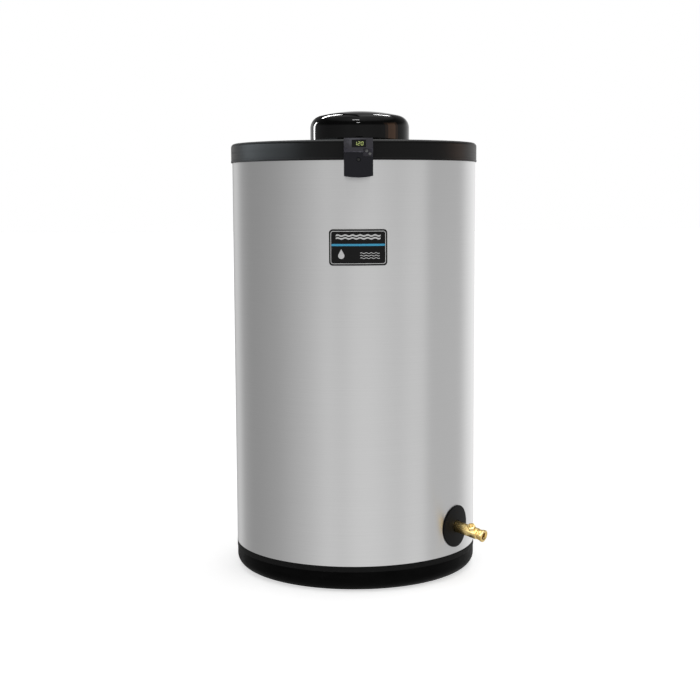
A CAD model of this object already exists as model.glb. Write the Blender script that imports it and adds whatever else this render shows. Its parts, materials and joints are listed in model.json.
# %% [markdown]
# # A tank water heater in brushed steel
#
# The heater is a tall insulated tank. A thin sheet of brushed stainless steel is rolled round the foam,
# a black moulded lid caps it, and a black pan carries it. A gloss black dome covers the access flange,
# a small temperature control hangs on the lid's front, and a brass drain cock sits low on the right.
#
# The measured solids come first. They are never moved, so every piece below takes its place from them.

# %% Load the frame
import json
import math

import bmesh
import bpy
from mathutils import Matrix, Vector


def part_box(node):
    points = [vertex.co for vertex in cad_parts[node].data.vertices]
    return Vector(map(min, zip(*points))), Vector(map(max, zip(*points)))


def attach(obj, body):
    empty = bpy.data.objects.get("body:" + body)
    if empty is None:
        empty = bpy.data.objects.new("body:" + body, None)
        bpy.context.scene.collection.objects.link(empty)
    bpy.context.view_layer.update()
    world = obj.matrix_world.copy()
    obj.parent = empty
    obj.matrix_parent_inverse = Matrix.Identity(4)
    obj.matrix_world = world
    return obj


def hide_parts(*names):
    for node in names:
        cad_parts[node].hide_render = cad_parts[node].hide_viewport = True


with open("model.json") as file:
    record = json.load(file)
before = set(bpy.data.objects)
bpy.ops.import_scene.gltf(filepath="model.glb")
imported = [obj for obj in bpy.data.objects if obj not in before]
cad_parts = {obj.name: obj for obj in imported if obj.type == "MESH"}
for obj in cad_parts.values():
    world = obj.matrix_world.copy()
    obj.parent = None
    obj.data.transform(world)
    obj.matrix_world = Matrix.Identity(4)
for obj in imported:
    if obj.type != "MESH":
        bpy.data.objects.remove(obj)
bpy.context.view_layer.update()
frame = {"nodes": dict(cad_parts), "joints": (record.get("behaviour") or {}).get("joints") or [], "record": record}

scene = bpy.context.scene

# %% [markdown]
# ## Places
#
# The sizes that several cells share are read from the solids' boxes, so that a change in the solids is
# followed here. The drain cock points down and to one side, so its line comes from its outlet's axis and
# from the hinge that its ball turns on.

# %% Places read from the solids
GAP = 0.0004  # the clearance between two solids that touch on the real heater
jacket_low, jacket_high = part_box("jacket")
lid_low, lid_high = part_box("top_lid")
pan_low, pan_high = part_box("base_pan")
dome_low, dome_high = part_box("dome_cover")
JACKET_R = jacket_high.x
LID_R = lid_high.x
PAN_R = pan_high.x
PAN_TOP = jacket_low.z - GAP
LID_TOP = dome_low.z - GAP
ACCESS_X = (dome_low.x + dome_high.x) / 2
DOME_R = (dome_high.x - dome_low.x) / 2
mounts = {mount["name"]: mount for mount in frame["record"]["mounts"]}
joints = {joint["name"]: joint for joint in frame["joints"]}
PORTS = ("cold_inlet", "boiler_return", "boiler_supply", "relief_valve", "hot_outlet")
ball_at = Vector(joints["drain_turn"]["pos_m"])
print("jacket radius", round(JACKET_R, 4), "lid top", round(LID_TOP, 4), "dome radius", round(DOME_R, 4))

# %% [markdown]
# ## Camera
#
# The heater is seen from the front, from chest height and a little to its left, so the camera looks
# slightly down and slightly to the right. A 70 mm lens from about 3.3 m keeps the upright edges straight.

# %% The camera
LENS_MM, SENSOR_MM = 69.95, 36.0
EYE = (-0.105, -3.347, 0.914)
HEADING, PITCH, ROLL = -1.602, 83.46, -0.28  # degrees; a pitch of 90 looks straight ahead
FARTHEST = 100.0
camera = bpy.data.objects.new("camera", bpy.data.cameras.new("camera"))
scene.collection.objects.link(camera)
camera.data.lens = LENS_MM
camera.data.sensor_width = SENSOR_MM
camera.data.clip_end = FARTHEST
heading = Matrix.Rotation(math.radians(HEADING), 4, "Z")
pitch = Matrix.Rotation(math.radians(PITCH), 4, "X")
roll = Matrix.Rotation(math.radians(ROLL), 4, "Z")
camera.matrix_world = Matrix.Translation(EYE) @ heading @ pitch @ roll
scene.camera = camera
print("camera at", tuple(round(x, 3) for x in camera.location))

# %% [markdown]
# ## Short calls for node trees
#
# Finishes, the studio and the repeated shapes are all node trees. One helper adds a node, sets its
# values and links what feeds it, which keeps each tree about as short as a sentence that describes it.

# %% Helpers for node trees
def add(tree, kind, sockets=None, **settings):
    """Adds a node. sockets gives each input, by name or number, a value or an output that feeds it."""
    made = tree.nodes.new(kind)
    for key, value in settings.items():
        setattr(made, key, value)
    for key, value in (sockets or {}).items():
        if isinstance(value, bpy.types.NodeSocket):
            tree.links.new(value, made.inputs[key])
        else:
            made.inputs[key].default_value = value
    return made


def maths(tree, operation, *values):
    return add(tree, "ShaderNodeMath", dict(enumerate(values)), operation=operation).outputs[0]


def between(tree, share, low, high, start=0.0, end=1.0):
    """A share from start to end, turned into a number from low to high."""
    sockets = {"Value": share, "From Min": start, "From Max": end, "To Min": low, "To Max": high}
    return add(tree, "ShaderNodeMapRange", sockets).outputs[0]


def shades(tree, share, stops):
    """A colour ramp with (position, colour) stops."""
    ramp = add(tree, "ShaderNodeValToRGB", {"Fac": share})
    elements = ramp.color_ramp.elements
    while len(elements) < len(stops):
        elements.new(0.5)
    for element, (position, colour) in zip(elements, sorted(stops)):
        element.position = position
        element.color = (*colour, 1.0)
    return ramp.outputs[0]


# %% [markdown]
# ## Studio
#
# Polished and brushed surfaces show the room more than they show themselves. The room here is a ring of
# soft grey walls: a little dim at the left, even in front, brightest behind on the right, dark straight
# behind, with a ceiling of light overhead. Each azimuth of the ring gets its own brightness, and the
# brushed jacket turns that into soft upright bands. To the camera the room is plain white.

# %% The ring of walls
WALLS = (  # azimuth from the front towards the right, in degrees, and brightness
    (-180, 0.05), (-172, 0.08), (-163, 0.64), (-148, 0.70), (-133, 0.44), (-118, 0.37), (-102, 0.40),
    (-80, 0.47), (-50, 0.65), (-28, 0.81), (-14, 0.77), (0, 0.86), (14, 0.87), (40, 0.77), (54, 0.84),
    (66, 0.84), (74, 0.64), (95, 0.63), (116, 0.61), (134, 0.88), (150, 0.98), (171, 0.98), (180, 0.72),
)
CEILING = ((0.0, 1.0), (0.14, 1.0), (0.34, 0.22), (0.66, 0.20), (0.82, 1.2), (1.0, 1.6))  # height, brightness
BRIGHTEST = 1.1
world = bpy.data.worlds.new("studio")
scene.world = world
world.use_nodes = True
room = world.node_tree
room.nodes.clear()
direction = add(room, "ShaderNodeTexCoord").outputs["Generated"]
parts = add(room, "ShaderNodeSeparateXYZ", {0: direction})
forward = maths(room, "MULTIPLY", parts.outputs["Y"], -1.0)
azimuth = maths(room, "ARCTAN2", parts.outputs["X"], forward)
turn = between(room, azimuth, 0.0, 1.0, -math.pi, math.pi)
wall = shades(room, turn, [(a / 360 + 0.5, (b / BRIGHTEST,) * 3) for a, b in WALLS])
upper = shades(room, parts.outputs["Z"], [(up, (bright,) * 3) for up, bright in CEILING])
lit = add(room, "ShaderNodeMix", {0: 1.0, 6: wall, 7: upper}, data_type="RGBA", blend_type="MULTIPLY")
seen = add(room, "ShaderNodeLightPath").outputs["Is Camera Ray"]
inner = add(room, "ShaderNodeBackground", {"Color": lit.outputs[2], "Strength": BRIGHTEST})
plain = add(room, "ShaderNodeBackground", {"Color": (1, 1, 1, 1), "Strength": 1.0})
chosen = add(room, "ShaderNodeMixShader", {0: seen, 1: inner.outputs[0], 2: plain.outputs[0]})
add(room, "ShaderNodeOutputWorld", {"Surface": chosen.outputs[0]})
scene.view_settings.view_transform = "Standard"
print("the room has", len(WALLS), "shades of wall")

# %% [markdown]
# The room alone lights the steel. The black mouldings are so dark that they need lamps of their own: a
# cool one at the left and a warm one at the right give the lid its sheen, and narrow strips overhead and
# behind draw the bright lines on the gloss dome. Two more give the brass its glow. An area lamp is
# mirrored as its own outline, so a window is a wide lamp and a ceiling tube a narrow one. Light linking
# lets each lamp light one collection of pieces and keeps it off everything else.

# %% Lamps for the black mouldings and the brass
def lamp(name, place, target, size, power, colour, lights_up):
    """A soft rectangular lamp that lights the pieces of one collection only."""
    light = bpy.data.lights.new(name, "AREA")
    light.shape = "RECTANGLE"
    light.size, light.size_y = size
    light.energy = power
    light.color = colour
    obj = bpy.data.objects.new(name, light)
    scene.collection.objects.link(obj)
    aim = (Vector(target) - Vector(place)).to_track_quat("-Z", "Y")
    obj.matrix_world = Matrix.Translation(place) @ aim.to_matrix().to_4x4()
    obj.visible_camera = False
    obj.light_linking.receiver_collection = lights_up


satin_pieces = bpy.data.collections.new("satin_pieces")
gloss_pieces = bpy.data.collections.new("gloss_pieces")
brass_pieces = bpy.data.collections.new("brass_pieces")
lid_at = (0, 0, 1.0)
dome_at = (ACCESS_X, 0, 1.1)
WHITE, COOL, AMBER = (1, 1, 1), (0.84, 0.94, 1.0), (1.0, 0.50, 0.24)
WOOD, CREAM, IVORY = (1.0, 0.56, 0.34), (1.0, 0.95, 0.85), (1.0, 0.97, 0.90)
lamp("cool_window", (-2.3, -0.15, 1.5), lid_at, (3.0, 0.9), 38, COOL, satin_pieces)
lamp("warm_window", (2.3, 0.6, 1.4), lid_at, (0.8, 0.9), 2.0, AMBER, satin_pieces)
lamp("tube_left", (-0.75, 1.85, 2.65), dome_at, (1.1, 0.20), 32, WHITE, gloss_pieces)
lamp("tube_right", (0.66, 1.67, 2.85), dome_at, (0.60, 0.14), 12, WHITE, gloss_pieces)
lamp("tube_front", (-0.3, -1.2, 3.0), dome_at, (0.5, 0.12), 12, WHITE, gloss_pieces)
lamp("spot_front", (-0.15, -1.7, 2.1), dome_at, (0.22, 0.12), 5, WHITE, gloss_pieces)
lamp("door_strip", (-1.9, 1.7, 1.3), dome_at, (0.30, 1.5), 32, WHITE, gloss_pieces)
lamp("warm_door", (2.3, -0.55, 1.3), dome_at, (0.9, 1.3), 7, WOOD, gloss_pieces)
lamp("warm_wall", (2.3, -0.55, 1.35), dome_at, (1.6, 1.9), 7, WOOD, gloss_pieces)
lamp("cock_ceiling", (0.15, -0.75, 1.4), ball_at, (1.2, 1.2), 15, CREAM, brass_pieces)
lamp("cock_window", (-1.0, -0.95, 0.85), ball_at, (1.3, 1.3), 11, IVORY, brass_pieces)

# %% [markdown]
# The floor is one wide pale square, a hair below the pan so that the two never share a surface. It takes
# the heater's soft shadow, and it is kept out of reflections, so that the jacket mirrors only the room.

# %% A pale floor
REACH = 30.0
BELOW = 0.0002
floor_mesh = bpy.data.meshes.new("floor")
corners = [(-REACH, -REACH, 0), (REACH, -REACH, 0), (REACH, REACH, 0), (-REACH, REACH, 0)]
floor_mesh.from_pydata(corners, [], [(0, 1, 2, 3)])
floor = bpy.data.objects.new("floor", floor_mesh)
scene.collection.objects.link(floor)
floor.location.z = -BELOW
floor.visible_glossy = False
print("the floor is", 2 * REACH, "m wide")

# %% [markdown]
# ## Finishes
#
# Every finish starts from the same shader. What is the same all over the surface is set on the shader
# itself. What varies, such as grain, grime, casting marks and wear, is noise read at the piece's own
# coordinates, so it stays with the metal whatever the view.

# %% A finish, and how its surface is varied
class Finish:
    """A material, built up by short calls."""

    def __init__(self, name, colour, roughness, metallic=0.0, **constants):
        self.material = bpy.data.materials.new(name)
        self.material.use_nodes = True
        self.tree = self.material.node_tree
        self.shader = self.tree.nodes["Principled BSDF"]
        self.shader.inputs["Base Color"].default_value = (*colour, 1.0)
        self.shader.inputs["Roughness"].default_value = roughness
        self.shader.inputs["Metallic"].default_value = metallic
        for key, value in constants.items():
            self.shader.inputs[key.replace("_", " ")].default_value = value
        self.place = add(self.tree, "ShaderNodeTexCoord").outputs["Object"]
        self.normal = None

    def noise(self, scale, stretch=(1, 1, 1), detail=3.0, rough=0.55):
        """Noise with about scale features a metre, stretched along an axis where stretch is small."""
        turned = add(self.tree, "ShaderNodeMapping", {"Vector": self.place, "Scale": stretch}).outputs[0]
        sockets = {"Vector": turned, "Scale": scale, "Detail": detail, "Roughness": rough}
        return add(self.tree, "ShaderNodeTexNoise", sockets).outputs[0]

    def cells(self, scale, feature="F1", output="Distance"):
        sockets = {"Vector": self.place, "Scale": scale}
        return add(self.tree, "ShaderNodeTexVoronoi", sockets, feature=feature).outputs[output]

    def drive(self, name, value):
        self.tree.links.new(value, self.shader.inputs[name])

    def roughen(self, share, low, high, start=0.3, end=0.7):
        """The roughness runs from low to high as the share goes from start to end."""
        self.drive("Roughness", between(self.tree, share, low, high, start, end))

    def tint(self, share, low, high, start=0.3, end=0.7):
        """The colour runs from low to high as the share goes from start to end."""
        self.drive("Base Color", shades(self.tree, share, [(start, low), (end, high)]))

    def bump(self, share, distance, strength=1.0):
        """A bump of about this height in metres, over any bump that is there already."""
        sockets = {"Height": share, "Distance": distance, "Strength": strength}
        if self.normal:
            sockets["Normal"] = self.normal
        self.normal = add(self.tree, "ShaderNodeBump", sockets).outputs[0]
        self.drive("Normal", self.normal)

    def wear(self, low, high, start=0.53, end=0.60):
        """Rubbed edges: the colour runs from low to high where the surface is sharply convex."""
        edge = add(self.tree, "ShaderNodeNewGeometry").outputs["Pointiness"]
        patches = self.noise(140, detail=4.0)
        share = maths(self.tree, "MULTIPLY", between(self.tree, edge, 0.0, 1.0, start, end), patches)
        self.tint(share, low, high, 0.15, 0.6)


def grey(value):
    return (value,) * 3


print("a mid grey is", grey(0.5))

# %% [markdown]
# The jacket's steel was brushed while it was flat, along what became the way round. Two stretched noises
# draw its fine level lines, and the shader's own anisotropy, with its tangent round the upright axis,
# smears reflections into upright bands. Smudges of handling change the roughness slightly.

# %% Brushed steel for the jacket
jacket_steel = Finish("brushed_jacket_steel", grey(0.72), 0.30, 1.0, Anisotropic=0.85,
                      Anisotropic_Rotation=0.25)
grain = jacket_steel.noise(5.0, (1, 1, 170), 4.0, 0.7)
fine_grain = jacket_steel.noise(9.0, (1, 1, 420), 3.0, 0.7)
smudge = jacket_steel.noise(4.0, (1, 1, 0.6), 3.0)
steel = jacket_steel.tree
lines = maths(steel, "MULTIPLY_ADD", fine_grain, 0.5, maths(steel, "MULTIPLY", grain, 0.5))
jacket_steel.tint(lines, grey(0.69), grey(0.75))
handled = maths(steel, "MULTIPLY_ADD", smudge, 0.05, between(steel, lines, 0.23, 0.31))
jacket_steel.drive("Roughness", handled)
jacket_steel.bump(lines, 0.00004, 0.35)
jacket_steel.drive("Tangent", add(steel, "ShaderNodeTangent", axis="Z").outputs[0])
print("finish:", jacket_steel.material.name)

# %% [markdown]
# The lid is moulded in satin black. Dust settles on what faces up, so its top is greyer than its skirt:
# the colour follows the way the surface faces, broken up by faint streaks from the mould.

# %% Satin black for the lid
lid_plastic = Finish("satin_black_lid", grey(0.004), 0.38, Specular_IOR_Level=0.16)
lid_grain = lid_plastic.noise(950, detail=2.0)
lid_streak = lid_plastic.noise(6.0, (1, 1, 60), 4.0)
facing = add(lid_plastic.tree, "ShaderNodeNewGeometry").outputs["Normal"]
upward = add(lid_plastic.tree, "ShaderNodeSeparateXYZ", {0: facing}).outputs["Z"]
settling = maths(lid_plastic.tree, "MULTIPLY_ADD", lid_streak, 0.10, upward)
LID_DUST = ((0.0, 0.0028), (0.10, 0.0042), (0.60, 0.006), (0.85, 0.100), (1.0, 0.110))  # facing up, grey
lid_plastic.drive("Base Color", shades(lid_plastic.tree, settling, [(up, grey(g)) for up, g in LID_DUST]))
lid_plastic.roughen(lid_streak, 0.33, 0.43)
lid_plastic.bump(lid_grain, 0.00005, 0.35)
print("finish:", lid_plastic.material.name)

# %% [markdown]
# The pan's plastic has a leather-like grain, which small Voronoi cells give. The straight band at its top
# is rubbed a little paler than the rest, so the colour changes at the band's height, with scuffs in both.
# The dome is the same black, polished: a light film of dust roughens it in places, and a slow ripple
# bends its reflections as a moulding's shrinkage does.

# %% The pan's grained face and the dome's gloss
BAND_H = 0.0125
BAND_LOW = PAN_TOP - BAND_H
BAND_BLUR = 0.0004
pan_plastic = Finish("grained_black_pan", grey(0.0010), 0.50, Specular_IOR_Level=0.035)
pan_grain = pan_plastic.cells(700)
pan_scuff = pan_plastic.noise(26, (1, 1, 3), 5.0, 0.65)
pan_height = add(pan_plastic.tree, "ShaderNodeSeparateXYZ", {0: pan_plastic.place}).outputs["Z"]
band = between(pan_plastic.tree, pan_height, 0.0, 1.0, BAND_LOW - BAND_BLUR, BAND_LOW + BAND_BLUR)
banded = maths(pan_plastic.tree, "MULTIPLY", band, 0.6)
rubbed = maths(pan_plastic.tree, "MULTIPLY_ADD", pan_scuff, 0.4, banded)
pan_plastic.tint(rubbed, grey(0.0008), grey(0.0120), 0.15, 0.95)
pan_plastic.roughen(pan_scuff, 0.42, 0.60)
pan_plastic.bump(pan_grain, 0.00008, 0.5)

dome_plastic = Finish("gloss_black_dome", grey(0.0010), 0.06, Specular_IOR_Level=0.16)
dust = dome_plastic.noise(420, detail=4.0, rough=0.7)
swirl = dome_plastic.noise(14, detail=2.0)
dome_plastic.roughen(dust, 0.035, 0.13, 0.45, 0.8)
dome_plastic.tint(dust, grey(0.0012), grey(0.0032), 0.5, 0.8)
dome_plastic.bump(swirl, 0.0006, 0.10)
print("finishes:", len(bpy.data.materials))

# %% [markdown]
# The control is moulded in a fine spark-eroded texture, charcoal below and a violet grey above. Hands rub
# its edges paler: Pointiness tells how sharply the surface bends outwards, so wear shows only there, and
# in patches. The plates round the pipes and the rubber parts are plain matt black with a fine grain.

# %% Control plastics, rubber, and the plates round the pipes
control_plastic = Finish("charcoal_control", (0.008, 0.008, 0.011), 0.38, Specular_IOR_Level=0.24)
spark = control_plastic.noise(1500, detail=2.0)
control_plastic.wear((0.0050, 0.0050, 0.0085), (0.040, 0.038, 0.052), 0.52, 0.62)
control_plastic.roughen(spark, 0.34, 0.50)
control_plastic.bump(spark, 0.00005, 0.5)

head_plastic = Finish("violet_grey_head", (0.030, 0.028, 0.038), 0.36, Specular_IOR_Level=0.30)
head_spark = head_plastic.noise(1500, detail=2.0)
head_plastic.wear((0.024, 0.022, 0.031), (0.110, 0.110, 0.130), 0.51, 0.60)
head_plastic.roughen(head_spark, 0.30, 0.46)
head_plastic.bump(head_spark, 0.00005, 0.4)

ring_plastic = Finish("matt_black_plate", grey(0.004), 0.55, Specular_IOR_Level=0.13)
ring_grain = ring_plastic.noise(800, detail=3.0)
ring_plastic.tint(ring_grain, grey(0.0020), grey(0.0060))
ring_plastic.bump(ring_grain, 0.00006, 0.5)

rubber = Finish("black_rubber", grey(0.020), 0.75, Specular_IOR_Level=0.3)
bloom = rubber.noise(60, detail=5.0)
rubber.tint(bloom, grey(0.014), grey(0.036))
rubber.bump(rubber.noise(1800), 0.00004, 0.5)

cap_rubber = Finish("grey_button_caps", grey(0.10), 0.45)
cap_grime = cap_rubber.noise(900, detail=4.0)
cap_rubber.tint(cap_grime, grey(0.07), grey(0.15))
cap_rubber.bump(cap_grime, 0.00004, 0.4)
print("finishes:", len(bpy.data.materials))

# %% [markdown]
# The metals take their colour from what they reflect, so their base colour is nearly all there is to set.
# Brass is yellow with browner patches of tarnish and a faint casting skin. Machined stainless has fine
# turning marks. Zinc plating shows the flat grey cells of its crystals, and the screw is oxide black.

# %% Metals: brass, stainless, zinc and a blackened screw
brass = Finish("cast_brass", (0.95, 0.70, 0.28), 0.24, 1.0)
cast_skin = brass.noise(420, detail=2.0)
tarnish = brass.noise(70, detail=4.0)
brass.tint(tarnish, (0.86, 0.58, 0.18), (0.98, 0.77, 0.36), 0.32, 0.60)
brass.roughen(cast_skin, 0.25, 0.29)
brass.bump(cast_skin, 0.00006, 0.06)

stainless = Finish("machined_stainless", grey(0.60), 0.28, 1.0)
turning = stainless.noise(240, (1, 0.08, 1), 3.0)
stainless.tint(turning, grey(0.58), grey(0.66))
stainless.roughen(turning, 0.26, 0.38)
stainless.bump(turning, 0.00002, 0.25)

zinc = Finish("zinc_plating", (0.60, 0.61, 0.58), 0.34, 1.0)
spangle = zinc.cells(260, output="Color")
spangle_grey = add(zinc.tree, "ShaderNodeRGBToBW", {0: spangle}).outputs[0]
zinc.tint(spangle_grey, (0.52, 0.53, 0.50), (0.70, 0.71, 0.68), 0.1, 0.9)
zinc.roughen(spangle_grey, 0.26, 0.46, 0.0, 1.0)
zinc.bump(zinc.noise(900), 0.00004, 0.4)

black_screw = Finish("blackened_screw", grey(0.05), 0.42, 0.85)
oxide = black_screw.noise(700, detail=4.0)
black_screw.tint(oxide, grey(0.035), grey(0.085))
black_screw.bump(oxide, 0.00003, 0.5)
print("finishes:", len(bpy.data.materials))

# %% [markdown]
# Inside, the foam is a mass of cells, the ball's seats are white fluoroplastic, and the boards show
# their copper tracks as the borders of cells.

# %% Foam, seats and boards
foam = Finish("poured_foam", (0.78, 0.66, 0.36), 0.92)
pore = foam.cells(330)
foam.tint(pore, (0.58, 0.44, 0.20), (0.84, 0.73, 0.42), 0.0, 0.6)
foam.bump(pore, 0.0006, 0.8)

seat = Finish("white_seat", grey(0.80), 0.45)
seat_mark = seat.noise(500)
seat.tint(seat_mark, grey(0.72), grey(0.86))
seat.bump(seat_mark, 0.00003, 0.4)

board = Finish("green_board", (0.02, 0.13, 0.06), 0.45)
trace = board.cells(330, "DISTANCE_TO_EDGE")
board.tint(trace, (0.05, 0.24, 0.10), (0.012, 0.10, 0.045), 0.02, 0.06)
board.bump(trace, 0.00003, 0.6)
print("finishes:", len(bpy.data.materials))

# %% [markdown]
# The window is nearly black, since the lit bars behind it have to stand out. The bars shine by themselves,
# a little unevenly, as a lit segment does. The badge is enamelled black with a silver line and a blue
# stripe. The floor shines faintly too, which keeps it as pale as the room round it.

# %% Display, badge and floor
glass = Finish("dark_display_glass", (0.001, 0.001, 0.001), 0.05, Specular_IOR_Level=0.10)
haze = glass.noise(600, detail=4.0)
glass.roughen(haze, 0.03, 0.10, 0.4, 0.8)
glass.tint(haze, grey(0.0006), grey(0.0016))

segment = Finish("lit_segment", (0.10, 0.16, 0.03), 0.4, Emission_Strength=1.15)
glow = segment.noise(900, detail=2.0)
DIM_GREEN, LIT_GREEN = (0.36, 0.42, 0.12), (0.50, 0.56, 0.20)
segment.drive("Emission Color", shades(segment.tree, glow, [(0.3, DIM_GREEN), (0.7, LIT_GREEN)]))

enamel = Finish("black_enamel", grey(0.004), 0.28, Specular_IOR_Level=0.14)
fleck = enamel.noise(700, detail=3.0)
enamel.tint(fleck, grey(0.0030), grey(0.0075))
enamel.bump(fleck, 0.00003, 0.4)

silver_line = Finish("silver_line", grey(0.58), 0.42, 0.5)
silver_brush = silver_line.noise(30, (1, 1, 60), 4.0)
silver_line.tint(silver_brush, grey(0.50), grey(0.68))
silver_line.bump(silver_brush, 0.00002, 0.4)

blue_line = Finish("blue_line", (0.03, 0.36, 0.60), 0.40)
blue_fleck = blue_line.noise(600, detail=3.0)
blue_line.tint(blue_fleck, (0.020, 0.26, 0.46), (0.040, 0.36, 0.58))
blue_line.bump(blue_fleck, 0.00002, 0.4)

pale_floor = Finish("pale_floor", grey(0.93), 0.75, Specular_IOR_Level=0.1, Emission_Color=(1, 1, 1, 1),
                    Emission_Strength=0.62)
dapple = pale_floor.noise(1.5, detail=2.0)
pale_floor.tint(dapple, grey(0.92), grey(0.95))
floor_mesh.materials.append(pale_floor.material)
print("finishes:", len(bpy.data.materials))

# %% [markdown]
# ## Making pieces
#
# Most of the heater is turned: a lid, a pan, a dome, a nut or a pipe is an outline spun round a line.
# Real mouldings have no perfectly sharp corners, so the outline is given as corners with a radius each,
# and the corners are rounded before it is spun.

# %% Outlines with rounded corners
def rounded(corners, steps=6):
    """Corners (across, up) or (across, up, radius), as a closed outline with each radius drawn as an arc."""
    outline = []
    for i, corner in enumerate(corners):
        here = Vector(corner[:2])
        radius = corner[2] if len(corner) > 2 else 0.0
        if not radius:
            outline.append(here)
            continue
        to_last = (Vector(corners[i - 1][:2]) - here).normalized()
        to_next = (Vector(corners[(i + 1) % len(corners)][:2]) - here).normalized()
        half = to_last.angle(to_next) / 2
        centre = here + (to_last + to_next).normalized() * (radius / math.sin(half))
        first = here + to_last * (radius / math.tan(half)) - centre
        last = here + to_next * (radius / math.tan(half)) - centre
        start = math.atan2(first.y, first.x)
        sweep = (math.atan2(last.y, last.x) - start + math.pi) % (2 * math.pi) - math.pi
        for k in range(steps + 1):
            angle = start + sweep * k / steps
            outline.append(centre + Vector((math.cos(angle), math.sin(angle))) * radius)
    return outline


def arc(centre, radius, start, end, steps):
    """Points along an arc, with angles in degrees."""
    angles = [math.radians(start + (end - start) * k / steps) for k in range(steps + 1)]
    return [Vector((centre[0] + radius * math.cos(a), centre[1] + radius * math.sin(a))) for a in angles]


print("a rounded square has", len(rounded([(0, 0, 0.1), (1, 0, 0.1), (1, 1, 0.1), (0, 1, 0.1)])), "points")

# %% [markdown]
# An outline of points is spun into rings, and neighbouring rings are joined with faces. A point on the
# axis is one shared vertex, so a pole closes without slivers. The steps are chosen by size: a rim half a
# metre across needs two hundred and more, a screw fifty. Place, a matrix, puts the shape where it goes.

# %% Turned shapes
WELD = 1e-6  # metres between two points that are the same point
SHARP = 32  # degrees; a fold as sharp as this stays an edge in the shading


def spin(bm, outline, steps=192, place=Matrix()):
    """Adds a closed outline of (radius, height) points, spun round the place's Z axis."""
    turns = [2 * math.pi * k / steps for k in range(steps)]
    rings = []
    for radius, up in outline:
        if radius < WELD:
            rings.append([bm.verts.new(place @ Vector((0, 0, up)))] * steps)
            continue
        spots = [Vector((radius * math.cos(turn), radius * math.sin(turn), up)) for turn in turns]
        rings.append([bm.verts.new(place @ spot) for spot in spots])
    for lower, higher in zip(rings, rings[1:] + rings[:1]):
        for k in range(steps):
            corners = [lower[k], lower[(k + 1) % steps], higher[(k + 1) % steps], higher[k]]
            corners = list(dict.fromkeys(corners))
            if len(corners) > 2:
                bm.faces.new(corners)


def smooth_between(mesh, sharp=SHARP):
    """Smooth shading, except across edges that fold more sharply than this."""
    mesh.shade_smooth()
    mesh.set_sharp_from_angle(angle=math.radians(sharp))


def piece_from(name, bm, finish, sharp=SHARP):
    """A bmesh becomes an object at the origin, welded, facing outwards and smooth between its edges."""
    bmesh.ops.remove_doubles(bm, verts=bm.verts, dist=WELD)
    bmesh.ops.recalc_face_normals(bm, faces=bm.faces)
    mesh = bpy.data.meshes.new(name)
    bm.to_mesh(mesh)
    bm.free()
    mesh.materials.append(finish.material)
    smooth_between(mesh, sharp)
    obj = bpy.data.objects.new(name, mesh)
    scene.collection.objects.link(obj)
    return obj


def turned(name, finish, outline, steps=192, place=Matrix()):
    """A piece with one finish, spun from one outline."""
    bm = bmesh.new()
    spin(bm, outline, steps, place)
    return piece_from(name, bm, finish)


print("shading stays sharp past", SHARP, "degrees")

# %% [markdown]
# Holes and joints are booleans: a plain tool is cut from a piece, or joined to it, as a drill or a weld
# would. A boolean can leave slivers where two surfaces nearly meet, so those are merged afterwards. When
# a piece is done, it is shown: it rides on the body it moves with, is given the slot of its material, and
# takes the place of the plain solids that it stands for.

# %% Cutting, joining and showing a piece
SLIVER = 2e-6


def settled(obj):
    """Applies the object's modifiers and returns it as a plain mesh with its old name."""
    name = obj.name
    graph = bpy.context.evaluated_depsgraph_get()
    mesh = bpy.data.meshes.new_from_object(obj.evaluated_get(graph))
    obj.modifiers.clear()
    obj.data = mesh
    mesh.name = name
    return obj


def cut(obj, *tools, operation="DIFFERENCE"):
    """Cuts tools away from the object, or joins them to it, and removes the tools."""
    for tool in tools:
        boolean = obj.modifiers.new("cut", "BOOLEAN")
        boolean.operation = operation
        boolean.object = tool
    settled(obj)
    for tool in tools:
        bpy.data.objects.remove(tool)
    bm = bmesh.new()
    bm.from_mesh(obj.data)
    bmesh.ops.remove_doubles(bm, verts=bm.verts, dist=SLIVER)
    bmesh.ops.dissolve_degenerate(bm, edges=bm.edges, dist=SLIVER)
    bm.to_mesh(obj.data)
    bm.free()
    smooth_between(obj.data)
    return obj


def show(obj, body, slot, *nodes):
    """The piece rides on a body, has a material slot, and takes the place of these solids."""
    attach(obj, body)
    if nodes:
        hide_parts(*nodes)
    print(f"{obj.name}: {len(obj.data.polygons)} faces on {body}")


print("slivers under", SLIVER, "m are merged")


# %% [markdown]
# ## Trees that grow shapes
#
# What follows a rule is grown by a node tree: the rolled jacket, rivets along a seam, bolts on a circle,
# threads that climb a pipe. A tree has named inputs for its sizes. Its modifier is given its values,
# evaluated once and removed, so what stays is a plain mesh.

# %% Helpers for growing
def new_tree(name, **inputs):
    """A geometry tree with one number, whole number or material input for each name."""
    kinds = {float: "NodeSocketFloat", int: "NodeSocketInt", bpy.types.Material: "NodeSocketMaterial"}
    tree = bpy.data.node_groups.new(name, "GeometryNodeTree")
    tree.interface.new_socket("Geometry", in_out="OUTPUT", socket_type="NodeSocketGeometry")
    for label, value in inputs.items():
        socket = tree.interface.new_socket(label, in_out="INPUT", socket_type=kinds[type(value)])
        socket.default_value = value
    return tree, tree.nodes.new("NodeGroupInput").outputs


def close_tree(tree, geometry, finish):
    """Ends a tree in plain geometry with its finish set."""
    whole = add(tree, "GeometryNodeRealizeInstances", {0: geometry}).outputs[0]
    set_finish = add(tree, "GeometryNodeSetMaterial", {"Geometry": whole, "Material": finish}).outputs[0]
    add(tree, "NodeGroupOutput", {0: set_finish})


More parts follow.
